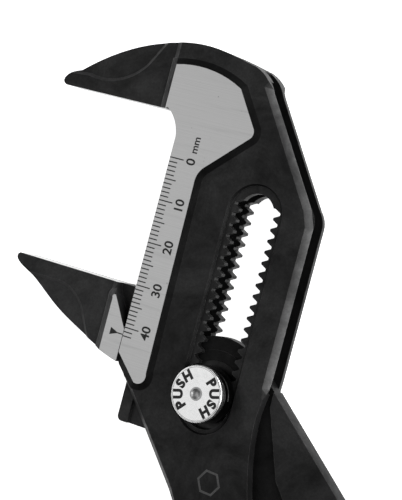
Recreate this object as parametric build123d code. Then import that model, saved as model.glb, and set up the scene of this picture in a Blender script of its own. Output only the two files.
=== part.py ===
from build123d import *
import math
import os

# Parallel-jaw adjustable pliers, lying flat on their back, drawn about the bolt axis.
# +Y is the way the sliding jaw travels, +X points to the outer edge, +Z is up.

# Thicknesses, measured from the mid-plane of the tool
PLATE_Z = 4.15
LAND_Z = 4.8
SLIT_Z = 1.7
TONGUE_Z = 1.6
RAIL_Z = 2.6
GROOVE_Z = 2.7
JAW_Z = 3.65
RELIEF_Z = 3.25
FIXED_TANG_Z = 3.8
MOVING_Z = 2.1
GRIP_Z = 6.0

# Jaws
JAW_FACE_Y = 59.2
OPENING = 41.1
SLIDE_FACE_Y = JAW_FACE_Y - OPENING
SCALE_EDGE_X = -24.15
HEAD_EDGE_X = -24.3
OUTER_X = 14.2
EDGE_BEVEL = 1.35
EDGE_BEVEL_DEG = 45
LAND_SLOPE_DEG = 66
RELIEF_SLOPE_DEG = 62

# Slot and its teeth
PITCH = 2.5
TOOTH_TIP_X = 4.4
TOOTH_ROOT_X = 5.8
TOOTH_COUNT = 18
SLOT_LOW_Y = -2.1
SLOT_HIGH_Y = 41.4
SLOT_HIGH_R = 4.4
MOUTH_HIGH_Y = 41.0
SLOT_MOUTH = 6.6
MOUTH_Z = 3.3
MOUTH_RIM = 0.5
MOUTH_SLOPE_DEG = 35

# Slide
RAIL_X0 = -21.4
RAIL_X1 = -18.7
TONGUE_X1 = -13.6
SLIDE_END_Y = -12.1
GAP = 0.15

# Pivot and nose of the moving lever
EYE_R = 13.1
LEVER_EDGE = 13.25
THICK_X = 14.9
BOSS_R = 10.0
BUSH_R = 7.5
BUSH_BORE_R = 6.15
NOSE_ARM = 15.0
NOSE_R = 3.0
SQUEEZE_DEG = 13.5

# Lock button
NECK_R = 3.0
COLLAR_X = 4.3
FRONT_COLLAR_R = 5.95
REAR_COLLAR_R = 7.0
BUTTON_R = 6.33
BUTTON_Z0 = 7.6
BUTTON_Z1 = 8.9
RIVET_R = 1.5

# Handles: centre lines, each with its grip between two fractions of its length
FIXED_PATH = Spline((7, -21), (14, -35.5), (26, -62), (44, -103.5))
MOVING_PATH = Spline((31.6, -18.4), (46, -30), (67, -51.5), (90, -76))
GRIP_SECTIONS = (
    (0.3, 8.3, 6.3), (0.33, 8.1, 6.3), (0.44, 7.2, 6.3), (0.64, 7.8, 6.3), (0.84, 7.6, 6.3),
    (0.95, 7.0, 6.1), (0.985, 5.9, 5.3),
)
PAD_DEPTH = 1.2
PAD_RIBS = 8
FIT = 0.05


def prism(wire, z0, z1):
    """Straight block between two heights, its outline given in plan."""
    return extrude(Pos(0, 0, z0) * make_face(wire), amount=z1 - z0)


def polygon(points, z0, z1):
    """Block with a straight-edged outline."""
    return prism(Polyline(*points, close=True), z0, z1)


def drum(x, y, radius, z0, z1):
    """Round block standing on a height."""
    return Pos(x, y, (z0 + z1) / 2) * Cylinder(radius, z1 - z0)


def bar(x0, x1, y0, y1, z0, z1):
    """Rectangular block between limits."""
    middle = Pos((x0 + x1) / 2, (y0 + y1) / 2, (z0 + z1) / 2)
    return middle * Box(x1 - x0, y1 - y0, z1 - z0)


def flank(path, side, stations):
    """Points beside a centre line; a station is a fraction of it and a half width."""
    points = []
    for fraction, half in stations:
        place = path @ fraction
        way = path % fraction
        points.append((place.X - side * half * way.Y, place.Y + side * half * way.X))
    return points


def strip(path, stations, z0, z1):
    """Block along a centre line with a rounded far end."""
    upper = flank(path, 1, stations)
    lower = flank(path, -1, stations)
    last, half = stations[-1]
    end = path @ last
    way = path % last
    tip = (end.X + way.X * half * 0.8, end.Y + way.Y * half * 0.8)
    outline = [
        Line(lower[0], upper[0]),
        Spline(*upper),
        ThreePointArc(upper[-1], tip, lower[-1]),
        Spline(*lower),
    ]
    return prism(outline, z0, z1)


def both_faces(block):
    """A block and its mirror image below the mid-plane."""
    return [block, mirror(block, about=Plane.XY)]


def raised(outline, top, drop, slope_deg):
    """Block under a flat top, its sides sloping outwards as they go down."""
    face = Pos(0, 0, top) * make_face(outline)
    return extrude(face, amount=-drop, taper=-slope_deg)


def sunk(outline, floor, rise, slope_deg):
    """What is cut away above a flat floor, its sides sloping outwards as they go up."""
    face = Pos(0, 0, floor) * make_face(outline)
    return extrude(face, amount=rise, taper=-slope_deg)


def wedge(section, y0, y1):
    """Block of one cross-section in X and Z, running along Y."""
    profile = make_face(Polyline(*[(x, y0, z) for x, z in section], close=True))
    return extrude(profile, amount=y1 - y0, dir=(0, 1, 0))


def level_edges(body, level, keep):
    """Edges lying at a height whose middle passes a test."""
    edges = body.edges().filter_by(lambda e: abs(e.bounding_box().min.Z - level) < 0.01)
    edges = edges.filter_by(lambda e: abs(e.bounding_box().max.Z - level) < 0.01)
    return edges.filter_by(lambda e: keep(e @ 0.5))


# Fixed jaw, plates and lever

def fixed_outline():
    """Plan outline of the fixed jaw, the two plates and the tang."""
    tang = [(0.02, 9.3), (0.2, 7.6), (0.4, 5.6), (0.65, 4.9), (0.9, 4.4)]
    right = flank(FIXED_PATH, 1, tang)
    left = flank(FIXED_PATH, -1, tang)
    end = FIXED_PATH @ 0.94
    way = FIXED_PATH % 0.9
    slope = [(0.664, -0.748), (way.X, way.Y)]
    return [
        Line((-57.3, JAW_FACE_Y), (-28.7, JAW_FACE_Y)),
        Line((-28.7, JAW_FACE_Y), (-28.05, JAW_FACE_Y + 0.4)),
        Spline((-28.05, JAW_FACE_Y + 0.4), (-25.65, 57.3), (SCALE_EDGE_X, 53.6)),
        Line((SCALE_EDGE_X, 53.6), (SCALE_EDGE_X, 1.6)),
        Spline((SCALE_EDGE_X, 1.6), (-21.4, -3.0), tangents=[(0.2, -0.98), slope[0]]),
        Line((-21.4, -3.0), (-3.9, -22.7)),
        Spline((-3.9, -22.7), *left[1:], tangents=slope),
        ThreePointArc(left[-1], (end.X, end.Y), right[-1]),
        Spline(
            *reversed(right), (13.6, -7.4), (13.3, -0.1), (OUTER_X, 8),
            tangents=[(-way.X, -way.Y), (0, 1)],
        ),
        Line((OUTER_X, 8), (OUTER_X, 41.5)),
        ThreePointArc((OUTER_X, 41.5), (13.8, 43.6), (12.6, 45.4)),
        Line((12.6, 45.4), (-3.4, 68.0)),
        ThreePointArc((-3.4, 68.0), (-5.6, 71.0), (-8.8, 72.85)),
        Spline(
            (-8.8, 72.85), (-15.8, 74.4), (-22.4, 75.2), (-28.7, 74.75),
            (-38.4, 72.35), (-47.2, 68.2), (-54.2, 63.4),
        ),
        Spline((-54.2, 63.4), (-55.9, 62.8), (-57.5, 61.7), (-58.3, 60.3), (-57.3, JAW_FACE_Y)),
    ]


def bevelled_rim():
    """What the long bevels take from one face, along the edges of plate and lever."""
    left = flank(FIXED_PATH, -1, [(0.12, 7.3), (0.25, 5.9), (0.9, 3.6)])
    right = flank(FIXED_PATH, 1, [(0.9, 30), (0.25, 12)])
    outer = OUTER_X - EDGE_BEVEL
    kept = Polyline(
        (-33.7, 13.0), (-20.4, -2.1), (-2.6, -22.1), *left, *right, (15.2, -3), (outer, 5),
        (outer, 41.2), (11.5, 44.6), (-5.6, 68.9), (-1.5, 76), (-80, 80.5), (-80, 13.0),
        close=True,
    )
    kept = raised(kept, PLATE_Z, EDGE_BEVEL, EDGE_BEVEL_DEG)
    return bar(-79, 79, -100, 80, PLATE_Z - EDGE_BEVEL, PLATE_Z + 1) - kept


def fixed_land():
    """Raised ground land carrying the scale, sloping off all round."""
    outline = [
        Line((-28.7, 60.2), (-28.7, 69.5)),
        ThreePointArc((-28.7, 69.5), (-19.8, 69.95), (-10.9, 67.3)),
        Line((-10.9, 67.3), (-5.3, 59.4)),
        ThreePointArc((-5.3, 59.4), (-4.95, 58.1), (-5.5, 57.0)),
        Line((-5.5, 57.0), (-14.7, 48.5)),
        ThreePointArc((-14.7, 48.5), (-16.0, 46.8), (-16.4, 45.0)),
        Line((-16.4, 45.0), (-15.8, 0.2)),
        ThreePointArc((-15.8, 0.2), (-16.8, -2.4), (-18.4, -2.5)),
        Line((-18.4, -2.5), (-27.0, 5.8)),
        Line((-27.0, 5.8), (-28.7, 60.2)),
    ]
    return raised(outline, LAND_Z, LAND_Z - PLATE_Z + 0.1, LAND_SLOPE_DEG)


def jaw_ramp(high_x, low_x, y0, y1):
    """What is taken from a face to leave the side of a jaw lower, down a ramp."""
    return wedge(
        [(-80, JAW_Z), (low_x, JAW_Z), (high_x, PLATE_Z + 0.05), (high_x, 8), (-80, 8)], y0, y1
    )


def fixed_relief():
    """Lowered band along the back of the fixed jaw, its wall sloped."""
    outline = [
        Line((-62, 62.6), (-51.5, 63.2)),
        ThreePointArc((-51.5, 63.2), (-42.2, 64.2), (-37.0, 68.4)),
        Line((-37.0, 68.4), (-31.0, 78.5)),
        Line((-31.0, 78.5), (-62, 78.5)),
        Line((-62, 78.5), (-62, 62.6)),
    ]
    return sunk(outline, RELIEF_Z, PLATE_Z - RELIEF_Z + 0.1, RELIEF_SLOPE_DEG)


def slit():
    """Space between the plates, opened up under the bevel of the front plate."""
    space = polygon(
        [
            (-30.5, -13.0), (-5.5, -13.3), (24.5, -35.0), (40.0, -35.0), (40.0, 90.0),
            (-8.0, 90.0), (-8.0, 59.6), (-29.6, 59.6), (-30.5, 59.0),
        ],
        -SLIT_Z, SLIT_Z,
    )
    inner = OUTER_X - EDGE_BEVEL
    return space + polygon(
        [(inner, 4.0), (40, 4.0), (40, 70.4), (-6.7, 70.4), (11.5, 44.6), (inner, 41.2)],
        -SLIT_Z, PLATE_Z - EDGE_BEVEL - 0.05,
    )


def slot_teeth():
    """Toothed opening through both plates."""
    low = PITCH * -0.5
    opening = bar(-TOOTH_TIP_X, TOOTH_TIP_X, SLOT_LOW_Y, SLOT_HIGH_Y, -6, 6)
    opening += drum(0, SLOT_LOW_Y, TOOTH_ROOT_X, -6, 6)
    opening += drum(0, SLOT_HIGH_Y, SLOT_HIGH_R, -6, 6)
    flat = PITCH * 0.1
    outline = [(0, low)]
    for j in range(TOOTH_COUNT):
        y = j * PITCH
        outline += [(TOOTH_TIP_X, y - PITCH / 2 + flat), (TOOTH_ROOT_X, y - flat)]
        outline += [(TOOTH_ROOT_X, y + flat), (TOOTH_TIP_X, y + PITCH / 2 - flat)]
    outline.append((0, low + TOOTH_COUNT * PITCH))
    teeth = polygon(outline, -6, 6)
    return opening + teeth + mirror(teeth, about=Plane.YZ)


def slot_mouth():
    """Wide shallow opening around the slot on the front face, its rim sloped."""
    rim_z = PLATE_Z - MOUTH_RIM
    mouth = bar(-SLOT_MOUTH, SLOT_MOUTH, SLOT_LOW_Y, MOUTH_HIGH_Y, MOUTH_Z, LAND_Z)
    rim = bar(-SLOT_MOUTH, SLOT_MOUTH, SLOT_LOW_Y, MOUTH_HIGH_Y, rim_z, PLATE_Z)
    for y in (SLOT_LOW_Y, MOUTH_HIGH_Y):
        mouth += drum(0, y, SLOT_MOUTH, MOUTH_Z, LAND_Z)
        rim += drum(0, y, SLOT_MOUTH, rim_z, PLATE_Z)
    low = rim.faces().sort_by(Axis.Z)[0]
    return mouth + extrude(low, amount=-2 * MOUTH_RIM, taper=-MOUTH_SLOPE_DEG)


def fixed_jaw_lever():
    """Fixed jaw, both plates and lever in one forging."""
    body = prism(fixed_outline(), -PLATE_Z, PLATE_Z)
    footprint = prism(fixed_outline(), -LAND_Z, LAND_Z)
    past_neck = [(0.24, 20), (1.2, 20)]
    tang = flank(FIXED_PATH, 1, past_neck) + flank(FIXED_PATH, -1, past_neck)[::-1]
    for part in both_faces(bevelled_rim()):
        body -= part
    for part in both_faces(jaw_ramp(-29.0, -30.3, 55, 80)):
        body -= part
    for part in both_faces(fixed_relief()):
        body -= part
    for part in both_faces(polygon(tang, FIXED_TANG_Z, PLATE_Z + 1)):
        body -= part
    for part in both_faces(fixed_land() & footprint):
        body += part
    body -= slit()
    body -= bar(RAIL_X0 - GAP, RAIL_X1 + GAP, -20, JAW_FACE_Y + 0.4, -GROOVE_Z, GROOVE_Z)
    body -= slot_teeth()
    body -= slot_mouth()
    return body


# Sliding jaw

def head_outline():
    """Plan outline of the sliding jaw's head."""
    return [
        Line((-57.9, SLIDE_FACE_Y), (-29.6, SLIDE_FACE_Y)),
        ThreePointArc((-29.6, SLIDE_FACE_Y), (-29.3, 16.6), (-28.5, 15.0)),
        Line((-28.5, 15.0), (HEAD_EDGE_X, 8.3)),
        Line((HEAD_EDGE_X, 8.3), (HEAD_EDGE_X, 0.75)),
        Spline(
            (HEAD_EDGE_X, 0.75), (-30.2, 2.35), (-36.7, 4.9), (-44.8, 8.65), (-53.4, 13.9),
            (-55.6, 14.95),
        ),
        Spline((-55.6, 14.95), (-57.6, 16.0), (-58.5, 17.2), (-57.9, SLIDE_FACE_Y)),
    ]


def head_relief():
    """Lowered band along the back of the sliding jaw, its wall sloped."""
    outline = [
        Line((-61, 13.6), (-47, 13.9)),
        ThreePointArc((-47, 13.9), (-41.1, 12.6), (-37.9, 9.6)),
        Line((-37.9, 9.6), (-32.6, 0)),
        Line((-32.6, 0), (-61, 0)),
        Line((-61, 0), (-61, 13.6)),
    ]
    return sunk(outline, RELIEF_Z, PLATE_Z - RELIEF_Z + 0.1, RELIEF_SLOPE_DEG)


def pointer_land():
    """Raised ground land carrying the pointer, sloping off to the jaw."""
    outline = [
        Line((-29.35, 0), (-29.35, 14.4)),
        ThreePointArc((-29.35, 14.4), (-28.95, 15.3), (-28.3, 14.7)),
        Line((-28.3, 14.7), (-20, 1.6)),
        Line((-20, 1.6), (-29.35, 0)),
    ]
    return raised(outline, LAND_Z, LAND_Z - PLATE_Z + 0.1, LAND_SLOPE_DEG)


def nose_centre(degrees):
    """Centre of the moving lever's nose at a lever angle."""
    angle = math.radians(180 + SQUEEZE_DEG / 2 + degrees)
    return NOSE_ARM * math.cos(angle), NOSE_ARM * math.sin(angle)


def sliding_jaw():
    """Sliding jaw with its guide tongue, rail and socket."""
    body = prism(head_outline(), -PLATE_Z, PLATE_Z)
    footprint = prism(head_outline(), -LAND_Z, LAND_Z)
    for part in both_faces(jaw_ramp(-29.6, -30.8, -5, 25)):
        body -= part
    for part in both_faces(head_relief()):
        body -= part
    for part in both_faces(pointer_land() & footprint):
        body += part
    body += polygon(
        [
            (-30.5, SLIDE_FACE_Y - 2), (-29.6, SLIDE_FACE_Y), (TONGUE_X1, SLIDE_FACE_Y),
            (TONGUE_X1, SLIDE_END_Y), (RAIL_X0, SLIDE_END_Y), (RAIL_X0, -3.6),
            (-23.0, -2.3), (-24.4, -0.3), (-25.8, 0.8), (-28.0, 3.0),
        ],
        -TONGUE_Z, TONGUE_Z,
    )
    body += bar(RAIL_X0, RAIL_X1, SLIDE_END_Y, SLIDE_FACE_Y, -RAIL_Z, RAIL_Z)
    corner = body.edges().filter_by(Axis.Z).filter_by(
        lambda e: (e @ 0.5).Y < SLIDE_END_Y + 0.1 and (e @ 0.5).X < RAIL_X0 + 0.1
    )
    body = fillet(corner, 1.2)
    x, y = nose_centre(0)
    socket = bar(-18.3, TONGUE_X1 + 2, y - NOSE_R - FIT, y + NOSE_R + FIT, -5, 5)
    return body - socket


# Moving lever

def moving_lever():
    """Moving lever: eye, nose, web between the plates, thicker handle with tang."""
    tang = [(0.0, 8.3), (0.12, 7.5), (0.3, 5.6), (0.6, 4.9), (0.9, 4.4)]
    right = flank(MOVING_PATH, 1, [(0.0, 7.0), (0.12, 6.8), *tang[2:]])
    left = flank(MOVING_PATH, -1, tang)
    end = MOVING_PATH @ 0.94
    across = math.radians(50)
    top = (LEVER_EDGE * math.cos(across), LEVER_EDGE * math.sin(across))
    start = (THICK_X, top[1] - (THICK_X - top[0]) * top[0] / top[1])
    web = [top, right[0], right[1], left[1], (29.5, -25.9), (-2.0, -12.6), (-2.0, 8.0)]
    handle = [
        Line(start, right[0]),
        Spline(*right),
        ThreePointArc(right[-1], (end.X, end.Y), left[-1]),
        Spline(*reversed(left[1:])),
        Line(left[1], (20.8, -13.5)),
        Line((20.8, -13.5), (THICK_X, 1.5)),
        Line((THICK_X, 1.5), start),
    ]
    thick = prism(handle, -MOVING_Z, MOVING_Z)
    body = polygon(web, -TONGUE_Z, TONGUE_Z)
    body += drum(0, 0, EYE_R, -TONGUE_Z + 0.2, TONGUE_Z - 0.2)
    body += drum(0, 0, BOSS_R, -TONGUE_Z, TONGUE_Z)
    x, y = nose_centre(0)
    body += drum(x, y, NOSE_R, -TONGUE_Z + 0.1, TONGUE_Z - 0.1)
    body += thick
    body -= drum(0, 0, BUSH_R + FIT, -5, 5)
    return body


# Pivot and lock

def pivot_bush():
    """Ring the moving lever turns on, carried by the lock bolt."""
    ring = drum(0, 0, BUSH_R, -TONGUE_Z, TONGUE_Z) - drum(0, 0, BUSH_BORE_R, -5, 5)
    return ring


def spring_washer():
    """Cupped washer lying in the mouth of the slot, under the spring."""
    disc = drum(0, 0, 6.45, MOUTH_Z + 0.05, MOUTH_Z + 0.5)
    disc += drum(0, 0, 3.9, MOUTH_Z + 0.05, MOUTH_Z + 0.5)
    return disc - drum(0, 0, NECK_R + 0.15, 0, 9)


def collar(radius, z0, z1):
    """Collar of the lock bolt with teeth along its two flat sides."""
    block = drum(0, 0, radius, z0, z1)
    block &= bar(-COLLAR_X, COLLAR_X, -radius, radius, z0, z1)
    count = int(radius / PITCH)
    for side in (-1, 1):
        for j in range(-count, count):
            y = (j + 0.5) * PITCH
            notch = [
                (side * (COLLAR_X + 1), y - 0.9), (side * (COLLAR_X - 0.9), y - 0.3),
                (side * (COLLAR_X - 0.9), y + 0.3), (side * (COLLAR_X + 1), y + 0.9),
            ]
            block -= polygon(notch, z0 - 1, z1 + 1)
    return block


def lock_bolt():
    """Bolt with a toothed collar in each plate and a neck for the button."""
    bolt = drum(0, 0, NECK_R, -3, BUTTON_Z0)
    bolt += collar(FRONT_COLLAR_R, SLIT_Z + 0.1, MOUTH_Z - 0.1)
    bolt += collar(REAR_COLLAR_R, -PLATE_Z + 0.05, -SLIT_Z - 0.1)
    return bolt - drum(0, 0, RIVET_R + 0.02, 5.0, 9)


def push_button():
    """Round push button with a softened rim."""
    disc = drum(0, 0, BUTTON_R, BUTTON_Z0, BUTTON_Z1)
    disc = fillet(level_edges(disc, BUTTON_Z1, lambda p: True), 0.3)
    return disc - drum(0, 0, RIVET_R + 0.02, 5, 12)


def button_rivet():
    """Rivet holding the button on the bolt, dished at its head."""
    pin = drum(0, 0, RIVET_R, 5.0, BUTTON_Z1 + 0.05)
    dish = Pos(0, 0, BUTTON_Z1 + 1.55) * Sphere(1.9)
    return pin - dish


def button_spring():
    """Conical spring between the washer and the button."""
    wire = 0.3
    low = MOUTH_Z + 0.55 + wire
    coil = Helix(pitch=1.0, height=BUTTON_Z0 - 0.05 - wire - low, radius=5.5, cone_angle=-20)
    coil = Pos(0, 0, low) * coil
    section = Plane(origin=coil @ 0, z_dir=coil % 0) * Circle(wire)
    return sweep(section, path=coil)


# Grips

def grip_shape(path, shrink):
    """Rounded sleeve shape along a handle, swelling at its ends."""
    body = loft([
        Plane(origin=path @ fraction, x_dir=(0, 0, 1), z_dir=path % fraction)
        * RectangleRounded(2 * (height - shrink), 2 * (half - shrink), 3.4 - shrink)
        for fraction, half, height in GRIP_SECTIONS
    ])
    level = GRIP_Z - shrink
    return body & bar(-200, 200, -200, 200, -level, level)


def pad_window(path, margin):
    """Region of the handle that the soft pad wraps."""
    stations = [(0.42 + margin, 20), (0.9 - margin, 20)]
    corners = flank(path, 1, stations) + list(reversed(flank(path, -1, stations)))
    return polygon(corners, -10, 10)


def tang_space(path, half):
    """Room for a tang of a half thickness inside a grip."""
    stations = [(0.2, 8.2), (0.3, 6.95), (0.45, 5.9), (0.65, 5.3), (0.9, 4.8)]
    return strip(path, stations, -half - FIT, half + FIT)


def grip_core(path, half):
    """Hard sleeve of a grip, its middle reduced for the pad."""
    outer = grip_shape(path, 0) - pad_window(path, 0)
    return outer + grip_shape(path, PAD_DEPTH) - tang_space(path, half)


def grip_pad(path):
    """Soft sleeve around the middle of a grip, ribbed across its two faces."""
    pad = grip_shape(path, 0) & pad_window(path, 0.001)
    pad -= grip_shape(path, PAD_DEPTH - FIT)
    for j in range(PAD_RIBS):
        fraction = 0.47 + 0.38 * j / (PAD_RIBS - 1)
        place = path @ fraction
        way = path % fraction
        turn = math.degrees(math.atan2(way.Y, way.X))
        rib = Pos(place.X, place.Y, GRIP_Z) * Rot(0, 0, turn) * Box(1.2, 8.0, 0.9)
        pad -= rib
    return pad


def build_nodes():
    """Every node of the tool, drawn about the bolt axis."""
    return {
        "fixed_jaw_lever": fixed_jaw_lever(),
        "fixed_grip_core": grip_core(FIXED_PATH, FIXED_TANG_Z),
        "fixed_grip_pad": grip_pad(FIXED_PATH),
        "sliding_jaw": sliding_jaw(),
        "moving_lever": moving_lever(),
        "moving_grip_core": grip_core(MOVING_PATH, MOVING_Z),
        "moving_grip_pad": grip_pad(MOVING_PATH),
        "pivot_bush": pivot_bush(),
        "spring_washer": spring_washer(),
        "lock_bolt": lock_bolt(),
        "push_button": push_button(),
        "button_rivet": button_rivet(),
        "button_spring": button_spring(),
    }


def main():
    """Moves the origin to the bottom centre of the whole tool and writes the nodes."""
    os.makedirs("parts", exist_ok=True)
    nodes = build_nodes()
    box = Compound(children=[Compound([part]) for part in nodes.values()]).bounding_box()
    shift = Pos(-(box.min.X + box.max.X) / 2, -(box.min.Y + box.max.Y) / 2, -box.min.Z)
    print("bolt axis at", shift.position)
    for name, part in nodes.items():
        export_step(shift * part, "parts/" + name + ".step")


main()
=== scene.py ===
import math

import bpy
import bmesh
from mathutils import Matrix, Vector


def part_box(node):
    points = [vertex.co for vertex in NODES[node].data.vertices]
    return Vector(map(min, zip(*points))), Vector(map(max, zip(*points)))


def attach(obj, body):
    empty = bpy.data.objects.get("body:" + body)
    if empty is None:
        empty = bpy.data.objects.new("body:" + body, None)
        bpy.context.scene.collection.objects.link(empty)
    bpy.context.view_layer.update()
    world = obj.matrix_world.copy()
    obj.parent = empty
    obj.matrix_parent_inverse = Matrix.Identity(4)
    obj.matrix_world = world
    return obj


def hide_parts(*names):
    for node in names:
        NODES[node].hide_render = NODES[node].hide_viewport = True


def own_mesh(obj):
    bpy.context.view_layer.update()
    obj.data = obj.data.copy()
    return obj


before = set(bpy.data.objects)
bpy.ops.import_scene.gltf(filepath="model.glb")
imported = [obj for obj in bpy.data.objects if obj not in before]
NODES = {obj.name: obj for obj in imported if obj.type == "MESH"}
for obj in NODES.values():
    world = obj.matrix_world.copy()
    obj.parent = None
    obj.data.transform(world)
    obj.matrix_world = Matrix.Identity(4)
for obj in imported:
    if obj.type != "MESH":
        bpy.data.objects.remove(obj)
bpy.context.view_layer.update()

MM = 0.001

# The bolt axis and the tool's mid-plane are the centre of the pivot bush
bush_low, bush_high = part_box("pivot_bush")
BOLT = (bush_low + bush_high) / 2

# Heights above the mid-plane, in millimetres: the raised ground lands, the faces of the
# plates and the fixed lever, the foot of the plates' bevel, the face of the moving lever,
# the inner faces of the plates, and the top of the button
LAND = 4.8
PLATE = 4.15
BEVEL_FOOT = 2.8
MOVING = 2.1
SLIT = 1.7
BUTTON_TOP = (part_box("push_button")[1].z - BOLT.z) / MM

# Places in plan, in millimetres from the bolt axis: the edge that the scale lines start at,
# the zero of the scale, the pointer, where the jaws begin, and the two jaw faces
SCALE_X = -24.15
ZERO_Y = 48.8
POINTER_Y = 7.05
JAW_X = -29
FIXED_FACE_Y = 59.2
SLIDING_FACE_Y = 18.1

# Engraved marks are thin plates set in the metal: how far they go down into it and stand
# out of it, and the half width of a fine line, in millimetres
MARK_DEPTH = 0.04
MARK_LIFT = 0.012
LINE_HALF = 0.13

# The scale's length, and a line's length by the multiple it falls on, in millimetres
SCALE_LENGTH = 42
LINE_LENGTHS = ((10, 3.65), (5, 3.0), (1, 2.2))

# The table's half width and level, in metres
TABLE_HALF = 4.0
TABLE_LEVEL = -0.0005


def at(x, y, z=0.0):
    """A point given in millimetres from the bolt axis and the mid-plane."""
    return BOLT + Vector((x, y, z)) * MM


def local(point):
    """A scene point in millimetres from the bolt axis and the mid-plane, the reverse of at."""
    return (Vector(point) - BOLT) / MM


# ---------------------------------------------------------------- materials

def grey(tone):
    """A neutral colour of one brightness."""
    return (tone, tone, tone)


def lined(axis, along, across):
    """Noise scales that draw long lines along one axis."""
    return tuple(along if letter == axis else across for letter in "XYZ")


class Shader:
    """A material under construction: a principled surface and the nodes that feed it."""

    def __init__(self, name, colour, roughness, metallic=0.0, specular=0.5):
        self.material = bpy.data.materials.new(name)
        self.material.use_nodes = True
        self.tree = self.material.node_tree
        self.surface = self.tree.nodes["Principled BSDF"]
        self.surface.inputs["Base Color"].default_value = (*colour, 1)
        self.surface.inputs["Roughness"].default_value = roughness
        self.surface.inputs["Metallic"].default_value = metallic
        self.surface.inputs["Specular IOR Level"].default_value = specular
        self.place = self.tree.nodes.new("ShaderNodeTexCoord").outputs["Object"]
        self.bumps = None

    def node(self, kind, **settings):
        """A new node with its settings."""
        made = self.tree.nodes.new(kind)
        for key, value in settings.items():
            setattr(made, key, value)
        return made

    def feed(self, socket, value):
        """Links an output to a socket, or sets the socket's value."""
        if isinstance(value, bpy.types.NodeSocket):
            self.tree.links.new(value, socket)
        else:
            socket.default_value = value

    def stretched(self, scale):
        """Object coordinates in millimetres, scaled along each axis."""
        mapping = self.node("ShaderNodeMapping")
        self.feed(mapping.inputs["Vector"], self.place)
        mapping.inputs["Scale"].default_value = [s / MM for s in scale]
        return mapping.outputs["Vector"]

    def noise(self, per_mm, detail=4.0, rough=0.55, distortion=0.0):
        """Noise with a number of features to the millimetre, the same or one per axis."""
        scale = per_mm if isinstance(per_mm, tuple) else (per_mm,) * 3
        made = self.node("ShaderNodeTexNoise")
        self.feed(made.inputs["Vector"], self.stretched(scale))
        made.inputs["Scale"].default_value = 1.0
        made.inputs["Detail"].default_value = detail
        made.inputs["Roughness"].default_value = rough
        made.inputs["Distortion"].default_value = distortion
        return made.outputs["Fac"]

    def specks(self, per_mm, low, high):
        """Scattered round specks, one inside and zero outside."""
        cells = self.node("ShaderNodeTexVoronoi")
        self.feed(cells.inputs["Vector"], self.stretched((per_mm,) * 3))
        cells.inputs["Scale"].default_value = 1.0
        return self.span(cells.outputs["Distance"], low, high, 1.0, 0.0)

    def span(self, value, low, high, out_low, out_high):
        """A value moved from one range to another, and held at its ends."""
        made = self.node("ShaderNodeMapRange")
        self.feed(made.inputs["Value"], value)
        for key, number in zip(("From Min", "From Max", "To Min", "To Max"),
                               (low, high, out_low, out_high)):
            made.inputs[key].default_value = number
        return made.outputs["Result"]

    def blend(self, amount, first, second):
        """A colour between two colours."""
        made = self.node("ShaderNodeMix", data_type="RGBA")
        self.feed(made.inputs["Factor"], amount)
        for key, colour in (("A", first), ("B", second)):
            linked = isinstance(colour, bpy.types.NodeSocket)
            self.feed(made.inputs[key], colour if linked else (*colour, 1))
        return made.outputs["Result"]

    def times(self, first, second):
        """The product of two values."""
        made = self.node("ShaderNodeMath", operation="MULTIPLY")
        self.feed(made.inputs[0], first)
        self.feed(made.inputs[1], second)
        return made.outputs["Value"]

    def bump(self, height, depth_mm, strength=1.0):
        """Adds relief of a depth in millimetres on top of what is there."""
        made = self.node("ShaderNodeBump")
        made.inputs["Strength"].default_value = strength
        made.inputs["Distance"].default_value = depth_mm * MM
        self.feed(made.inputs["Height"], height)
        if self.bumps:
            self.feed(made.inputs["Normal"], self.bumps)
        self.bumps = made.outputs["Normal"]
        self.feed(self.surface.inputs["Normal"], self.bumps)

    def worn_edges(self, radius_mm):
        """A mask of sharp edges, from how far a rounded normal turns from the real one."""
        rounded = self.node("ShaderNodeBevel", samples=6)
        rounded.inputs["Radius"].default_value = radius_mm * MM
        true = self.node("ShaderNodeNewGeometry")
        dot = self.node("ShaderNodeVectorMath", operation="DOT_PRODUCT")
        self.feed(dot.inputs[0], rounded.outputs["Normal"])
        self.feed(dot.inputs[1], true.outputs["Normal"])
        return self.span(dot.outputs["Value"], 0.97, 0.8, 0.0, 1.0)

    def height(self):
        """Height above the tool's mid-plane in millimetres, held beyond a reach."""
        reach = 10.0
        split = self.node("ShaderNodeSeparateXYZ")
        self.feed(split.inputs["Vector"], self.place)
        return self.span(split.outputs["Z"], BOLT.z - reach * MM, BOLT.z + reach * MM,
                         -reach, reach)

    def base(self, colour):
        """Sets the colour of the surface."""
        self.feed(self.surface.inputs["Base Color"], colour)

    def rough(self, value):
        """Sets the roughness of the surface."""
        self.feed(self.surface.inputs["Roughness"], value)


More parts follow.
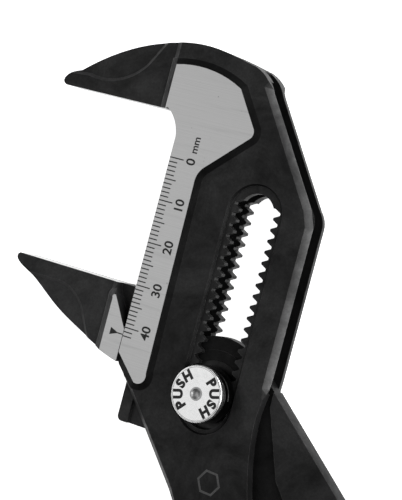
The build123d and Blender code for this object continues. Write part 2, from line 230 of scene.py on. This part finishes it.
def black_oxide(name, dark=0.0042, light=0.0115, edge_wear_and_highlight=0.06, specular=0.3, fade=None):
    """Forged steel under black oxide: mottled, finely grained, thinner on its edges, where the
    lighter colour is partly wear and partly a painted highlight.

    The sheen can fade between two heights above the mid-plane, from dull to full.
    """
    make = Shader(name, grey(dark), 0.5, specular=specular)
    mottle = make.span(make.noise(0.11, 6, 0.62, 0.6), 0.35, 0.68, 0.0, 1.0)
    tone = make.blend(mottle, grey(dark), (light, light, light * 1.03))
    patches = make.span(make.noise(1.3, 4), 0.3, 0.62, 0.15, 1.0)
    # Lighter edges in random patches: partly real wear of the oxide, partly a painted highlight
    # along the edges
    edges = make.times(make.worn_edges(0.22), patches)
    make.base(make.blend(edges, tone, grey(edge_wear_and_highlight)))
    clouds = make.span(make.noise(0.07, 7, 0.66, 0.8), 0.34, 0.66, 0.4, 1.45)
    sheen = make.times(clouds, make.span(make.noise(1.8, 4, 0.7), 0.3, 0.7, 0.78, 1.22))
    if fade:
        dull_height, full_height = fade
        rise = make.span(make.height(), dull_height, full_height, 0.35, 1.0)
        sheen = make.times(sheen, rise)
    make.feed(make.surface.inputs["Specular IOR Level"], make.times(sheen, specular))
    make.rough(make.span(make.noise(0.5, 5), 0.3, 0.7, 0.42, 0.58))
    make.bump(make.noise(0.35, 3), 0.05, 0.5)
    make.bump(make.noise(5.0, 3, 0.6), 0.012, 0.6)
    make.bump(make.specks(1.1, 0.05, 0.2), 0.012, 0.35)
    return make.material


def ground_steel(name, low, high, line_axis="X", rough=0.36):
    """Bare ground steel with long fine lines along one axis."""
    make = Shader(name, grey(high), rough, metallic=1.0)
    lines = make.noise(lined(line_axis, 0.03, 7.0), 5, 0.7, 0.15)
    bands = make.noise(lined(line_axis, 0.025, 0.9), 4, 0.6, 0.5)
    tone = make.blend(make.span(lines, 0.32, 0.66, 0, 1), grey(low), grey(high))
    dull = make.blend(make.span(bands, 0.56, 0.72, 0, 0.55), tone, grey(low * 0.8))
    clusters = make.span(make.noise(0.2, 2), 0.5, 0.6, 0, 0.7)
    pits = make.times(make.specks(0.55, 0.06, 0.11), clusters)
    make.base(make.blend(pits, dull, grey(low * 0.45)))
    make.rough(make.span(lines, 0.3, 0.7, rough - 0.07, rough + 0.08))
    make.bump(lines, 0.004, 0.7)
    make.bump(bands, 0.006, 0.4)
    return make.material


def bright_button(name):
    """Polished plated steel with light handling marks."""
    make = Shader(name, grey(0.9), 0.22, metallic=1.0)
    haze = make.noise(0.8, 5, 0.65)
    scratches = make.noise((0.25, 9.0, 3.0), 4, 0.6, 1.2)
    make.base(make.blend(make.span(haze, 0.35, 0.7, 0, 1), grey(0.92), grey(0.99)))
    make.rough(make.span(scratches, 0.35, 0.7, 0.2, 0.34))
    make.bump(scratches, 0.003, 0.5)
    make.bump(make.specks(1.4, 0.05, 0.14), 0.01, 0.4)
    return make.material


def plain_steel(name, tone):
    """Turned steel of the small parts: bush, bolt, washer, spring and rivet."""
    make = Shader(name, grey(tone), 0.4, metallic=1.0)
    turning = make.noise((1.5, 1.5, 12.0), 4, 0.6)
    make.base(make.blend(make.noise(0.7, 4), grey(tone * 0.6), grey(tone * 1.25)))
    make.rough(make.span(turning, 0.3, 0.7, 0.3, 0.5))
    make.bump(turning, 0.006, 0.5)
    return make.material


def moulded(name, colour, roughness, grain_per_mm, depth):
    """Moulded grip material with a fine leathery grain."""
    make = Shader(name, colour, roughness, specular=0.35)
    cells = make.node("ShaderNodeTexVoronoi", feature="SMOOTH_F1")
    make.feed(cells.inputs["Vector"], make.stretched((grain_per_mm,) * 3))
    cells.inputs["Scale"].default_value = 1.0
    clouds = make.noise(0.15, 5, 0.6)
    lighter = tuple(c * 1.5 for c in colour)
    make.base(make.blend(make.span(clouds, 0.35, 0.7, 0, 1), colour, lighter))
    make.rough(make.span(make.noise(0.9, 4), 0.3, 0.7, roughness - 0.07, roughness + 0.08))
    make.bump(cells.outputs["Distance"], depth, 0.6)
    make.bump(make.noise(4.0, 3), 0.01, 0.4)
    return make.material


def ink(name, tone):
    """Dark fill of an engraved mark, slightly uneven."""
    make = Shader(name, grey(tone), 0.6, specular=0.2)
    make.base(make.blend(make.noise(3.0, 4), grey(tone * 0.5), grey(tone * 1.8)))
    make.bump(make.noise(6.0, 3), 0.01, 0.5)
    return make.material


OXIDE = black_oxide("black_oxide")
OXIDE_JAW = black_oxide("black_oxide_jaw", dark=0.007, light=0.017)
OXIDE_BEVEL = black_oxide("black_oxide_bevel", dark=0.008, light=0.016, edge_wear_and_highlight=0.1,
                          specular=0.62, fade=(PLATE, BEVEL_FOOT))
OXIDE_SIDE = black_oxide("black_oxide_side", dark=0.004, light=0.008, edge_wear_and_highlight=0.04,
                         specular=0.12, fade=(MOVING, -MOVING))
# Lighter oxide painted as a highlight on the jaws' ramps and the walls of their lowered bands
OXIDE_RIDGE_HIGHLIGHT = black_oxide("black_oxide_ridge_painted_highlight", dark=0.012, light=0.024, edge_wear_and_highlight=0.1,
                          specular=0.5)
# Darker oxide painted as shade: in the slit between the plates, on the slopes off the lands, and
# on the moving lever's web under the plates
OXIDE_PAINTED_SHADE = black_oxide("black_oxide_painted_shade", dark=0.003, light=0.005, edge_wear_and_highlight=0.03,
                         specular=0.12)
GROUND = ground_steel("ground_land", low=0.52, high=0.62)
JAW_FACE = ground_steel("ground_jaw_face", low=0.36, high=0.47, line_axis="Z", rough=0.34)
BUTTON = bright_button("bright_button")
DARK_STEEL = plain_steel("dark_steel", tone=0.022)
BUSH_STEEL = plain_steel("bush_steel", tone=0.03)
RIVET_STEEL = plain_steel("rivet_steel", tone=0.5)
HARD_GRIP = moulded("hard_grip", (0.012, 0.012, 0.0125), 0.5, grain_per_mm=2.2, depth=0.02)
SOFT_GRIP = moulded("soft_grip", (0.045, 0.045, 0.047), 0.72, grain_per_mm=1.4, depth=0.05)
INK = ink("engraved_dark", tone=0.02)
MARK = ink("engraved_mark", tone=0.06)
# Dark ring painted as shade where the edge of the button's chamfer looks dark
BUTTON_EDGE_SHADE = ink("button_edge_painted_shade", tone=0.16)


def paint(name, base, rules=()):
    """Gives a CAD node its materials; a rule is a material and a test of a face."""
    mesh = NODES[name].data
    mesh.materials.clear()
    mesh.materials.append(base)
    for material, _ in rules:
        mesh.materials.append(material)
    for face in mesh.polygons:
        face.material_index = 0
        middle = local(face.center)
        for index, (_, test) in enumerate(rules):
            if test(middle, face.normal):
                face.material_index = index + 1
                break


def on_land(middle, normal):
    """The flat tops of the raised lands, on both sides of the tool."""
    return abs(normal.z) > 0.99 and abs(middle.z) > LAND - 0.05


def inside_slit(middle, normal):
    """The space between the two plates."""
    return abs(middle.z) < SLIT + 0.02 and middle.x > SCALE_X - 5.6


def on_bevel(middle, normal):
    """The long bevel along the outer edge of the front plate."""
    upper = middle.z > BEVEL_FOOT - 0.1 and middle.y > 5
    return normal.x > 0.52 and 0.65 < normal.z < 0.76 and upper


def on_slope(middle, normal):
    """Slopes from the lands and into the mouth of the slot, short of the jaws."""
    slanted = 0.25 < abs(normal.z) < 0.96 and normal.x > -0.3
    return slanted and abs(middle.z) > 3.6 and middle.x > JAW_X


def on_ridge(middle, normal):
    """Ramps where the jaws begin, and walls of the lowered bands along their backs."""
    return 0.8 < abs(normal.z) < 0.97 and abs(middle.z) > 3.2 and middle.x < JAW_X


def lever_side(middle, normal):
    """The outer edge of the moving lever."""
    return abs(normal.z) < 0.1 and normal.x > 0.4 and middle.x > 14


def lever_web(middle, normal):
    """The web of the moving lever that turns between the plates."""
    return abs(middle.z) < MOVING - 0.05 and middle.x < 24


def fixed_face(middle, normal):
    """The face of the fixed jaw that grips."""
    level = abs(middle.y - FIXED_FACE_Y) < 0.2
    return normal.y < -0.98 and level and middle.x < JAW_X + 1


def sliding_face(middle, normal):
    """The face of the sliding jaw that grips."""
    level = abs(middle.y - SLIDING_FACE_Y) < 0.2
    return normal.y > 0.98 and level and middle.x < JAW_X


def paint_nodes():
    """Materials of every CAD node."""
    # The darker oxide on the slit, the slopes and the moving lever's web is painted shade
    paint("fixed_jaw_lever", OXIDE,
          [(GROUND, on_land), (JAW_FACE, fixed_face), (OXIDE_PAINTED_SHADE, inside_slit),
           (OXIDE_BEVEL, on_bevel), (OXIDE_PAINTED_SHADE, on_slope), (OXIDE_RIDGE_HIGHLIGHT, on_ridge)])
    # The lighter ridge oxide on both jaws' ramps and band walls is a painted highlight
    paint("sliding_jaw", OXIDE_JAW,
          [(GROUND, on_land), (JAW_FACE, sliding_face), (OXIDE_PAINTED_SHADE, on_slope),
           (OXIDE_RIDGE_HIGHLIGHT, on_ridge)])
    paint("moving_lever", OXIDE, [(OXIDE_SIDE, lever_side), (OXIDE_PAINTED_SHADE, lever_web)])
    paint("pivot_bush", BUSH_STEEL)
    paint("spring_washer", DARK_STEEL)
    paint("lock_bolt", DARK_STEEL)
    paint("button_spring", DARK_STEEL)
    paint("push_button", BUTTON)
    paint("button_rivet", RIVET_STEEL)
    for handle in ("fixed", "moving"):
        paint(handle + "_grip_core", HARD_GRIP)
        paint(handle + "_grip_pad", SOFT_GRIP)


def pressed_spring():
    """The button spring as a piece of its own, on the button's body."""
    node = NODES["button_spring"]
    made = bpy.data.objects.new("button_coil", node.data.copy())
    made.matrix_world = node.matrix_world.copy()
    bpy.context.scene.collection.objects.link(made)
    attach(made, "lock_button")
    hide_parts("button_spring")
    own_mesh(made)


# ---------------------------------------------------------------- engraved marks

def piece(name, mesh, material, body):
    """Puts a finished mesh in the scene, on a body."""
    mesh.materials.append(material)
    made = bpy.data.objects.new(name, mesh)
    bpy.context.scene.collection.objects.link(made)
    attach(made, body)


def outline_block(builder, points, low, high):
    """Adds an upright block with a plan outline to a mesh under construction."""
    bottom = [builder.verts.new(at(x, y, low)) for x, y in points]
    top = [builder.verts.new(at(x, y, high)) for x, y in points]
    builder.faces.new(bottom[::-1])
    builder.faces.new(top)
    for a in range(len(points)):
        b = (a + 1) % len(points)
        builder.faces.new((bottom[a], bottom[b], top[b], top[a]))


def scale_ticks():
    """One line for each millimetre of the scale, longer at fives and longest at tens."""
    builder = bmesh.new()
    start, point = SCALE_X + 0.02, 0.08
    for step in range(SCALE_LENGTH + 1):
        y = ZERO_Y - step
        end = SCALE_X + next(length for every, length in LINE_LENGTHS if step % every == 0)
        low, high = y - LINE_HALF, y + LINE_HALF
        corners = [(start, low), (end, low), (end + point, y), (end, high), (start, high)]
        outline_block(builder, corners, LAND - MARK_DEPTH, LAND + MARK_LIFT)
    mesh = bpy.data.meshes.new("scale_ticks")
    builder.to_mesh(mesh)
    builder.free()
    piece("scale_ticks", mesh, INK, "fixed_lever")


def letters(name, text, height, middle, turn, level, weight, body):
    """A word cut as thin plates.

    It is as high as asked, centred on a point, turned by degrees, set in a face at a level
    and made bolder by a weight.
    """
    curve = bpy.data.curves.new(name, "FONT")
    curve.body = text
    curve.align_x = "CENTER"
    curve.resolution_u = 6
    curve.extrude = 0.02
    curve.offset = weight
    draft = bpy.data.objects.new(name + "_draft", curve)
    bpy.context.scene.collection.objects.link(draft)
    bpy.context.view_layer.update()
    solid = draft.evaluated_get(bpy.context.evaluated_depsgraph_get())
    shape = bpy.data.meshes.new_from_object(solid)
    bpy.data.objects.remove(draft)
    xs = [v.co.x for v in shape.vertices]
    ys = [v.co.y for v in shape.vertices]
    size = height / (max(ys) - min(ys))
    shape.transform(Matrix.Translation((-(min(xs) + max(xs)) / 2, -(min(ys) + max(ys)) / 2, 0)))
    shape.transform(Matrix.Diagonal((size, size, 1, 1)))
    shape.transform(Matrix.Rotation(math.radians(turn), 4, "Z"))
    for vertex in shape.vertices:
        lift = MARK_LIFT if vertex.co.z > 0 else -MARK_DEPTH
        vertex.co = at(middle[0] + vertex.co.x, middle[1] + vertex.co.y, level + lift)
    shape.materials.clear()
    piece(name, shape, INK, body)


def scale_numbers():
    """Numbers beside the long lines and the unit, read from the handles to the head."""
    sideways = 90
    for number in range(0, 50, 10):
        letters("scale_" + str(number), str(number), 2.35, (SCALE_X + 5.55, ZERO_Y - number),
                sideways, LAND, 0.022, "fixed_lever")
    letters("scale_unit", "mm", 1.25, (SCALE_X + 5.95, ZERO_Y + 3.9),
            sideways, LAND, 0.02, "fixed_lever")


def pointer():
    """Triangle and line on the sliding jaw that read the scale."""
    builder = bmesh.new()
    y = POINTER_Y
    back, tip, half = -27.75, -25.5, 0.85
    triangle = [(back, y - half), (tip, y), (back, y + half)]
    outline_block(builder, triangle, LAND - MARK_DEPTH, LAND + MARK_LIFT)
    # The line overlaps the triangle's tip, so its top and bottom lie a hair higher
    start, end = -25.7, -24.35
    low, high = y - LINE_HALF, y + LINE_HALF
    line = [(start, low), (end, low), (end, high), (start, high)]
    outline_block(builder, line, LAND - 0.03, LAND + 0.014)
    mesh = bpy.data.meshes.new("scale_pointer")
    builder.to_mesh(mesh)
    builder.free()
    piece("scale_pointer", mesh, INK, "slide_jaw")


def button_words():
    """The word twice round the rim of the button, read clockwise."""
    word, radius, spacing, height, weight = "PUSH", 4.5, 30.5, 2.5, 0.06
    for side, centre in (("right", 0.5), ("left", 180.5)):
        for index, letter in enumerate(word):
            angle = centre + ((len(word) - 1) / 2 - index) * spacing
            radians = math.radians(angle)
            place = (radius * math.cos(radians), radius * math.sin(radians))
            letters("button_" + side + "_" + letter, letter, height, place,
                    angle - 90, BUTTON_TOP, weight, "lock_button")


def ring(name, middle, inner, outer, sides, turn, levels, material, body):
    """Flat ring with straight sides, its first corner at an angle in degrees.

    The radii are those of its inner and outer corners, the levels its bottom and top.
    """
    builder = bmesh.new()
    step = 2 * math.pi / sides
    for side in range(sides):
        here = math.radians(turn) + step * side
        there = here + step
        corners = [
            (middle[0] + radius * math.cos(angle), middle[1] + radius * math.sin(angle))
            for radius, angle in ((inner, here), (outer, here), (outer, there), (inner, there))
        ]
        outline_block(builder, corners, *levels)
    mesh = bpy.data.meshes.new(name)
    builder.to_mesh(mesh)
    builder.free()
    piece(name, mesh, material, body)


def rings():
    """Plain hexagon engraved on the fixed lever, and a dark ring on the button painted as the
    shade of its chamfer edge.
    """
    ring("nut_mark", (6.2, -18.4), 2.45, 3.0, 6, -63,
         (PLATE - 0.1, PLATE + MARK_LIFT), MARK, "fixed_lever")
    ring("button_edge_shade_line", (0, 0), 5.84, 5.93, 60, 0,
         (BUTTON_TOP - MARK_DEPTH, BUTTON_TOP + 0.006), BUTTON_EDGE_SHADE, "lock_button")


# ---------------------------------------------------------------- stage, light and camera

def emission_floor():
    """Pale table under the tool, lit from within like a photographer's light table."""
    mesh = bpy.data.meshes.new("floor")
    builder = bmesh.new()
    half = TABLE_HALF
    corners = [(-half, -half), (half, -half), (half, half), (-half, half)]
    builder.faces.new([builder.verts.new((x, y, TABLE_LEVEL)) for x, y in corners])
    builder.to_mesh(mesh)
    builder.free()
    make = Shader("pale_table", grey(0.9), 0.6)
    make.surface.inputs["Emission Color"].default_value = (1, 1, 1, 1)
    make.surface.inputs["Emission Strength"].default_value = 1.0
    mesh.materials.append(make.material)
    floor = bpy.data.objects.new("floor", mesh)
    bpy.context.scene.collection.objects.link(floor)


def softbox(name, direction, distance, width, height, radiance):
    """Area light at a distance in metres that faces the tool, with the radiance asked for."""
    data = bpy.data.lights.new(name, "AREA")
    data.shape = "RECTANGLE"
    data.size = width
    data.size_y = height
    data.energy = radiance * math.pi * width * height
    light = bpy.data.objects.new(name, data)
    aim = Vector(direction).normalized()
    light.location = BOLT + aim * distance
    light.rotation_euler = aim.to_track_quat("Z", "Y").to_euler()
    bpy.context.scene.collection.objects.link(light)


def surroundings():
    """Studio that is pale at the horizon and dim overhead."""
    world = bpy.data.worlds.new("studio")
    bpy.context.scene.world = world
    world.use_nodes = True
    tree = world.node_tree
    place = tree.nodes.new("ShaderNodeTexCoord")
    split = tree.nodes.new("ShaderNodeSeparateXYZ")
    ramp = tree.nodes.new("ShaderNodeMapRange")
    tree.links.new(place.outputs["Generated"], split.inputs["Vector"])
    tree.links.new(split.outputs["Z"], ramp.inputs["Value"])
    for key, number in (("From Min", 0.02), ("From Max", 0.3), ("To Min", 1.0), ("To Max", 0.1)):
        ramp.inputs[key].default_value = number
    tree.links.new(ramp.outputs["Result"], tree.nodes["Background"].inputs["Strength"])
    tree.nodes["Background"].inputs["Color"].default_value = (1, 1, 1, 1)


def camera():
    """Long lens above and to the right of the tool, at the photo's angle."""
    data = bpy.data.cameras.new("camera")
    data.sensor_fit = "VERTICAL"
    data.sensor_height = 36
    data.sensor_width = 36
    data.lens = 126.5
    data.clip_start = 0.01
    made = bpy.data.objects.new("camera", data)
    place = at(178.8, 44.3, 347.4)
    back = Vector((0.4828, 0.0355, 0.8750)).normalized()
    sideways = Vector((0.8419, 0.2561, -0.4750)).normalized()
    up = back.cross(sideways).normalized()
    right = up.cross(back)
    turn = Matrix((right, up, back)).transposed().to_4x4()
    made.matrix_world = Matrix.Translation(place) @ turn
    bpy.context.scene.collection.objects.link(made)
    bpy.context.scene.camera = made


camera()
surroundings()
softbox("overhead", (-0.50, -0.03, 0.86), 0.7, width=0.55, height=0.55, radiance=0.75)
softbox("right_strip", (0.87, 0.05, 0.46), 0.7, width=0.22, height=0.7, radiance=9.0)
softbox("upper_right_strip", (0.57, 0.71, 0.41), 0.7, width=0.22, height=0.35, radiance=9.0)
softbox("left_fill", (-0.9, 0.25, 0.35), 0.8, width=0.3, height=0.5, radiance=1.0)
emission_floor()
paint_nodes()
pressed_spring()
scale_ticks()
scale_numbers()
pointer()
button_words()
rings()
bpy.context.scene.view_settings.view_transform = "Standard"
